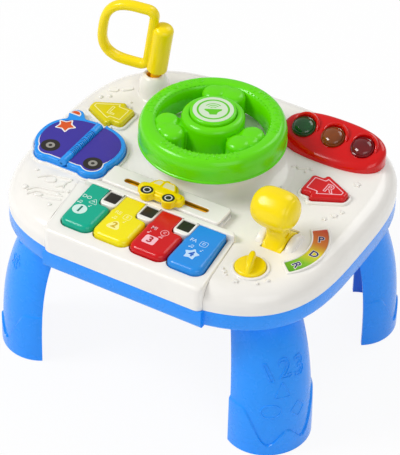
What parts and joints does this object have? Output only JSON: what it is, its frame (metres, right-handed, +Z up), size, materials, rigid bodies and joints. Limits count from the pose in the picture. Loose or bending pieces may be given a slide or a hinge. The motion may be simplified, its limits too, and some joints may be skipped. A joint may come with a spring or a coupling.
{
  "type": "musical activity table",
  "caption": "Child's musical activity table on curved legs, with a steering wheel, piano keys, arrow buttons, sliding car, gear lever, dial, lights, flip book and turning key.",
  "frame": {"origin": "on the floor, under the middle of the table", "axes": "+Z up, +X to the table's right, -Y to the front where the piano keys are"},
  "size_m": [0.36, 0.322, 0.3166],
  "materials": {
    "white_shell": "glossy",
    "blue_shell": "glossy",
    "green_plastic": "glossy",
    "yellow_plastic": "glossy",
    "red_plastic": "glossy",
    "teal_plastic": "glossy",
    "key_blue_plastic": "glossy",
    "book_blue_plastic": "glossy",
    "black_plastic": "satin",
    "ochre_plastic": "satin",
    "lens_green": "glossy",
    "lens_amber": "glossy",
    "lens_red": "glossy",
    "steel": "satin",
    "board": "satin",
    "silicone": "matte",
    "led": "glossy",
    "cell": "glossy"
  },
  "bodies": {
    "table": {"top_shell": "white_shell", "keyboard_housing": "white_shell", "black_keys": "black_plastic", "slider_track": "ochre_plastic", "bottom_shell": "blue_shell", "leg_front_left": "blue_shell", "leg_front_right": "blue_shell", "leg_back_left": "blue_shell", "leg_back_right": "blue_shell", "steering_shaft": "white_shell", "shaft_screw": "steel", "key_rod": "steel", "lever_pin": "steel", "traffic_housing": "red_plastic", "lens_green": "lens_green", "lens_amber": "lens_amber", "lens_red": "lens_red", "lamp_leds": "led", "lamp_board": "board", "book_base_leaf": "book_blue_plastic", "book_pin": "steel", "key_dome": "white_shell", "key_cup": "white_shell", "main_board": "board", "main_board_domes": "silicone", "arrow_boards": "board", "arrow_board_domes": "silicone", "speaker": "black_plastic", "batteries": "cell", "battery_contacts": "steel", "case_screws": "steel", "board_screws": "steel"},
    "wheel": {"steering_wheel": "green_plastic"},
    "horn": {"horn_button": "green_plastic"},
    "key_1": {"piano_key_1": "teal_plastic"},
    "key_2": {"piano_key_2": "yellow_plastic"},
    "key_3": {"piano_key_3": "red_plastic"},
    "key_4": {"piano_key_4": "key_blue_plastic"},
    "left_arrow": {"left_arrow_button": "yellow_plastic"},
    "right_arrow": {"right_arrow_button": "red_plastic"},
    "car": {"slider_car": "yellow_plastic", "slider_shoe": "white_shell"},
    "lever": {"gear_lever": "yellow_plastic"},
    "dial": {"dial_knob": "yellow_plastic", "dial_clip": "white_shell"},
    "page": {"book_page": "book_blue_plastic"},
    "key": {"turning_key": "yellow_plastic"},
    "door": {"battery_door": "blue_shell", "battery_screw": "steel"},
    "switch": {"power_switch": "black_plastic"}
  },
  "joints": [
    {"name": "wheel_turn", "type": "hinge", "parent": "table", "child": "wheel", "pos_m": [-0.0015, 0.018, 0.2345], "axis": [0, 0, 1], "continuous": true},
    {"name": "horn_press", "type": "slide", "parent": "wheel", "child": "horn", "axis": [0, 0, -1], "range_m": [0, 0.002], "stiffness_N_per_m": 300, "springref_m": -0.002},
    {"name": "key_1_press", "type": "hinge", "parent": "table", "child": "key_1", "pos_m": [-0.06415, -0.0775, 0.1985], "axis": [1, 0, 0], "range_deg": [0, 2.5], "stiffness_Nm_per_rad": 0.5, "springref_deg": -5.73},
    {"name": "key_2_press", "type": "hinge", "parent": "table", "child": "key_2", "pos_m": [-0.02245, -0.0775, 0.1985], "axis": [1, 0, 0], "range_deg": [0, 2.5], "stiffness_Nm_per_rad": 0.5, "springref_deg": -5.73},
    {"name": "key_3_press", "type": "hinge", "parent": "table", "child": "key_3", "pos_m": [0.01925, -0.0775, 0.1985], "axis": [1, 0, 0], "range_deg": [0, 2.5], "stiffness_Nm_per_rad": 0.5, "springref_deg": -5.73},
    {"name": "key_4_press", "type": "hinge", "parent": "table", "child": "key_4", "pos_m": [0.06095, -0.0775, 0.1985], "axis": [1, 0, 0], "range_deg": [0, 2.5], "stiffness_Nm_per_rad": 0.5, "springref_deg": -5.73},
    {"name": "left_arrow_press", "type": "slide", "parent": "table", "child": "left_arrow", "axis": [0, 0, -1], "range_m": [0, 0.0025], "stiffness_N_per_m": 400, "springref_m": -0.002},
    {"name": "right_arrow_press", "type": "slide", "parent": "table", "child": "right_arrow", "axis": [0, 0, -1], "range_m": [0, 0.0025], "stiffness_N_per_m": 400, "springref_m": -0.002},
    {"name": "car_slide", "type": "slide", "parent": "table", "child": "car", "axis": [1, 0, 0], "range_m": [-0.04, 0.045]},
    {"name": "lever_tilt", "type": "hinge", "parent": "table", "child": "lever", "pos_m": [0.1157, -0.052, 0.187], "axis": [1, 0, 0], "range_deg": [-26, 10]},
    {"name": "dial_turn", "type": "hinge", "parent": "table", "child": "dial", "pos_m": [0.113, -0.1055, 0.206], "axis": [0, 0, 1], "range_deg": [-120, 120]},
    {"name": "page_turn", "type": "hinge", "parent": "table", "child": "page", "pos_m": [-0.1237, -0.035, 0.2121], "axis": [0, -1, 0], "range_deg": [0, 172]},
    {"name": "key_turn", "type": "hinge", "parent": "table", "child": "key", "pos_m": [-0.113, 0.089, 0.215], "axis": [0.1461, 0, 0.9893], "range_deg": [-60, 60]},
    {"name": "door_lift", "type": "slide", "parent": "table", "child": "door", "axis": [0, 0, -1], "range_m": [0, 0.02]},
    {"name": "switch_slide", "type": "slide", "parent": "table", "child": "switch", "axis": [1, 0, 0], "range_m": [0, 0.007]}
  ]
}
